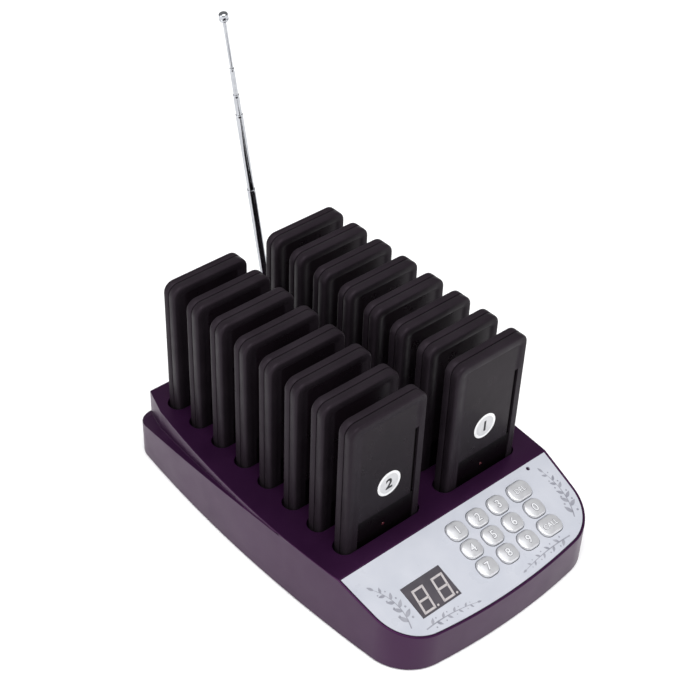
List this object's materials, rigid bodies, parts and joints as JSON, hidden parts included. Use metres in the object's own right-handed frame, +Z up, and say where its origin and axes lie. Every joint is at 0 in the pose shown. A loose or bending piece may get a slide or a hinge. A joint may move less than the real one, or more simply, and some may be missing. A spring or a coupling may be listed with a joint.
{
  "type": "guest pager system",
  "caption": "Charging base with a sloping keypad, a two-digit display and a telescopic antenna, holding two columns of thin lift-out pagers.",
  "frame": {"origin": "on the table, under the middle of the whole object", "axes": "+Z up, -Y towards the keypad and the person who uses it, +X to that person's right"},
  "size_m": [0.1504, 0.2278, 0.2417],
  "materials": {
    "housing": "satin purple moulded ABS",
    "bottom": "matt purple-black moulded ABS",
    "rubber": "matt black rubber",
    "steel": "zinc-plated steel",
    "panel": "satin silver panel with a faint grey scroll print",
    "display": "dark grey display face with pale segments",
    "key": "silver-white satin key caps",
    "silicone": "translucent grey silicone",
    "board": "green glass-epoxy circuit board",
    "contact": "gold-plated brass",
    "jack": "black nylon",
    "chrome": "chromed brass tube",
    "pager": "satin black moulded ABS with a glossy window"
  },
  "bodies": {
    "base": {"base_upper_shell": "housing", "base_lower_shell": "bottom", "rubber_feet": "rubber", "base_screws": "steel", "panel_plate": "panel", "display_module": "display", "key_mat": "silicone", "circuit_boards": "board", "charge_contacts": "contact", "power_jack": "jack"},
    "antenna": {"antenna_knuckle": "chrome", "antenna_tube_1": "chrome"},
    "antenna_section_2": {"antenna_tube_2": "chrome"},
    "antenna_section_3": {"antenna_tube_3": "chrome"},
    "antenna_section_4": {"antenna_tube_4": "chrome"},
    "antenna_section_5": {"antenna_tube_5": "chrome"},
    "key_1_cap": {"key_1": "key"},
    "key_2_cap": {"key_2": "key"},
    "key_3_cap": {"key_3": "key"},
    "key_del_cap": {"key_del": "key"},
    "key_4_cap": {"key_4": "key"},
    "key_5_cap": {"key_5": "key"},
    "key_6_cap": {"key_6": "key"},
    "key_0_cap": {"key_0": "key"},
    "key_7_cap": {"key_7": "key"},
    "key_8_cap": {"key_8": "key"},
    "key_9_cap": {"key_9": "key"},
    "key_call_cap": {"key_call": "key"},
    "pager_1": {"pager_1_front_shell": "pager", "pager_1_rear_shell": "pager"},
    "pager_2": {"pager_2_front_shell": "pager", "pager_2_rear_shell": "pager"},
    "pager_3": {"pager_3_front_shell": "pager", "pager_3_rear_shell": "pager"},
    "pager_4": {"pager_4_front_shell": "pager", "pager_4_rear_shell": "pager"},
    "pager_5": {"pager_5_front_shell": "pager", "pager_5_rear_shell": "pager"},
    "pager_6": {"pager_6_front_shell": "pager", "pager_6_rear_shell": "pager"},
    "pager_7": {"pager_7_front_shell": "pager", "pager_7_rear_shell": "pager"},
    "pager_8": {"pager_8_front_shell": "pager", "pager_8_rear_shell": "pager"},
    "pager_9": {"pager_9_front_shell": "pager", "pager_9_rear_shell": "pager"},
    "pager_10": {"pager_10_front_shell": "pager", "pager_10_rear_shell": "pager"},
    "pager_11": {"pager_11_front_shell": "pager", "pager_11_rear_shell": "pager"},
    "pager_12": {"pager_12_front_shell": "pager", "pager_12_rear_shell": "pager"},
    "pager_13": {"pager_13_front_shell": "pager", "pager_13_rear_shell": "pager"},
    "pager_14": {"pager_14_front_shell": "pager", "pager_14_rear_shell": "pager"},
    "pager_15": {"pager_15_front_shell": "pager", "pager_15_rear_shell": "pager"},
    "pager_16": {"pager_16_front_shell": "pager", "pager_16_rear_shell": "pager"}
  },
  "joints": [
    {"name": "antenna_swivel", "type": "hinge", "parent": "base", "child": "antenna", "pos_m": [0.0344, 0.1104, 0.014], "axis": [0, 1, 0], "range_deg": [-81.4, 98.6]},
    {"name": "antenna_slide_2", "type": "slide", "parent": "antenna", "child": "antenna_section_2", "axis": [-0.1495, 0, 0.9888], "range_m": [-0.0475, 0.0491]},
    {"name": "antenna_slide_3", "type": "slide", "parent": "antenna_section_2", "child": "antenna_section_3", "axis": [-0.1495, 0, 0.9888], "range_m": [-0.0107, 0.0829]},
    {"name": "antenna_slide_4", "type": "slide", "parent": "antenna_section_3", "child": "antenna_section_4", "axis": [-0.1495, 0, 0.9888], "range_m": [-0.0144, 0.0762]},
    {"name": "antenna_slide_5", "type": "slide", "parent": "antenna_section_4", "child": "antenna_section_5", "axis": [-0.1495, 0, 0.9888], "range_m": [-0.026, 0.0616]},
    {"name": "key_1_press", "type": "slide", "parent": "base", "child": "key_1_cap", "axis": [0, 0.3123, -0.95], "range_m": [0, 0.0012], "stiffness_N_per_m": 600, "springref_m": -0.0006},
    {"name": "key_2_press", "type": "slide", "parent": "base", "child": "key_2_cap", "axis": [0, 0.3123, -0.95], "range_m": [0, 0.0012], "stiffness_N_per_m": 600, "springref_m": -0.0006},
    {"name": "key_3_press", "type": "slide", "parent": "base", "child": "key_3_cap", "axis": [0, 0.3123, -0.95], "range_m": [0, 0.0012], "stiffness_N_per_m": 600, "springref_m": -0.0006},
    {"name": "key_del_press", "type": "slide", "parent": "base", "child": "key_del_cap", "axis": [0, 0.3123, -0.95], "range_m": [0, 0.0012], "stiffness_N_per_m": 600, "springref_m": -0.0006},
    {"name": "key_4_press", "type": "slide", "parent": "base", "child": "key_4_cap", "axis": [0, 0.3123, -0.95], "range_m": [0, 0.0012], "stiffness_N_per_m": 600, "springref_m": -0.0006},
    {"name": "key_5_press", "type": "slide", "parent": "base", "child": "key_5_cap", "axis": [0, 0.3123, -0.95], "range_m": [0, 0.0012], "stiffness_N_per_m": 600, "springref_m": -0.0006},
    {"name": "key_6_press", "type": "slide", "parent": "base", "child": "key_6_cap", "axis": [0, 0.3123, -0.95], "range_m": [0, 0.0012], "stiffness_N_per_m": 600, "springref_m": -0.0006},
    {"name": "key_0_press", "type": "slide", "parent": "base", "child": "key_0_cap", "axis": [0, 0.3123, -0.95], "range_m": [0, 0.0012], "stiffness_N_per_m": 600, "springref_m": -0.0006},
    {"name": "key_7_press", "type": "slide", "parent": "base", "child": "key_7_cap", "axis": [0, 0.3123, -0.95], "range_m": [0, 0.0012], "stiffness_N_per_m": 600, "springref_m": -0.0006},
    {"name": "key_8_press", "type": "slide", "parent": "base", "child": "key_8_cap", "axis": [0, 0.3123, -0.95], "range_m": [0, 0.0012], "stiffness_N_per_m": 600, "springref_m": -0.0006},
    {"name": "key_9_press", "type": "slide", "parent": "base", "child": "key_9_cap", "axis": [0, 0.3123, -0.95], "range_m": [0, 0.0012], "stiffness_N_per_m": 600, "springref_m": -0.0006},
    {"name": "key_call_press", "type": "slide", "parent": "base", "child": "key_call_cap", "axis": [0, 0.3123, -0.95], "range_m": [0, 0.0012], "stiffness_N_per_m": 600, "springref_m": -0.0006},
    {"name": "pager_1_lift", "type": "slide", "parent": "base", "child": "pager_1", "axis": [0, 0, 1], "range_m": [0, 0.12]},
    {"name": "pager_2_lift", "type": "slide", "parent": "base", "child": "pager_2", "axis": [0, 0, 1], "range_m": [0, 0.12]},
    {"name": "pager_3_lift", "type": "slide", "parent": "base", "child": "pager_3", "axis": [0, 0, 1], "range_m": [0, 0.12]},
    {"name": "pager_4_lift", "type": "slide", "parent": "base", "child": "pager_4", "axis": [0, 0, 1], "range_m": [0, 0.12]},
    {"name": "pager_5_lift", "type": "slide", "parent": "base", "child": "pager_5", "axis": [0, 0, 1], "range_m": [0, 0.12]},
    {"name": "pager_6_lift", "type": "slide", "parent": "base", "child": "pager_6", "axis": [0, 0, 1], "range_m": [0, 0.12]},
    {"name": "pager_7_lift", "type": "slide", "parent": "base", "child": "pager_7", "axis": [0, 0, 1], "range_m": [0, 0.12]},
    {"name": "pager_8_lift", "type": "slide", "parent": "base", "child": "pager_8", "axis": [0, 0, 1], "range_m": [0, 0.12]},
    {"name": "pager_9_lift", "type": "slide", "parent": "base", "child": "pager_9", "axis": [0, 0, 1], "range_m": [0, 0.12]},
    {"name": "pager_10_lift", "type": "slide", "parent": "base", "child": "pager_10", "axis": [0, 0, 1], "range_m": [0, 0.12]},
    {"name": "pager_11_lift", "type": "slide", "parent": "base", "child": "pager_11", "axis": [0, 0, 1], "range_m": [0, 0.12]},
    {"name": "pager_12_lift", "type": "slide", "parent": "base", "child": "pager_12", "axis": [0, 0, 1], "range_m": [0, 0.12]},
    {"name": "pager_13_lift", "type": "slide", "parent": "base", "child": "pager_13", "axis": [0, 0, 1], "range_m": [0, 0.12]},
    {"name": "pager_14_lift", "type": "slide", "parent": "base", "child": "pager_14", "axis": [0, 0, 1], "range_m": [0, 0.12]},
    {"name": "pager_15_lift", "type": "slide", "parent": "base", "child": "pager_15", "axis": [0, 0, 1], "range_m": [0, 0.12]},
    {"name": "pager_16_lift", "type": "slide", "parent": "base", "child": "pager_16", "axis": [0, 0, 1], "range_m": [0, 0.12]}
  ]
}
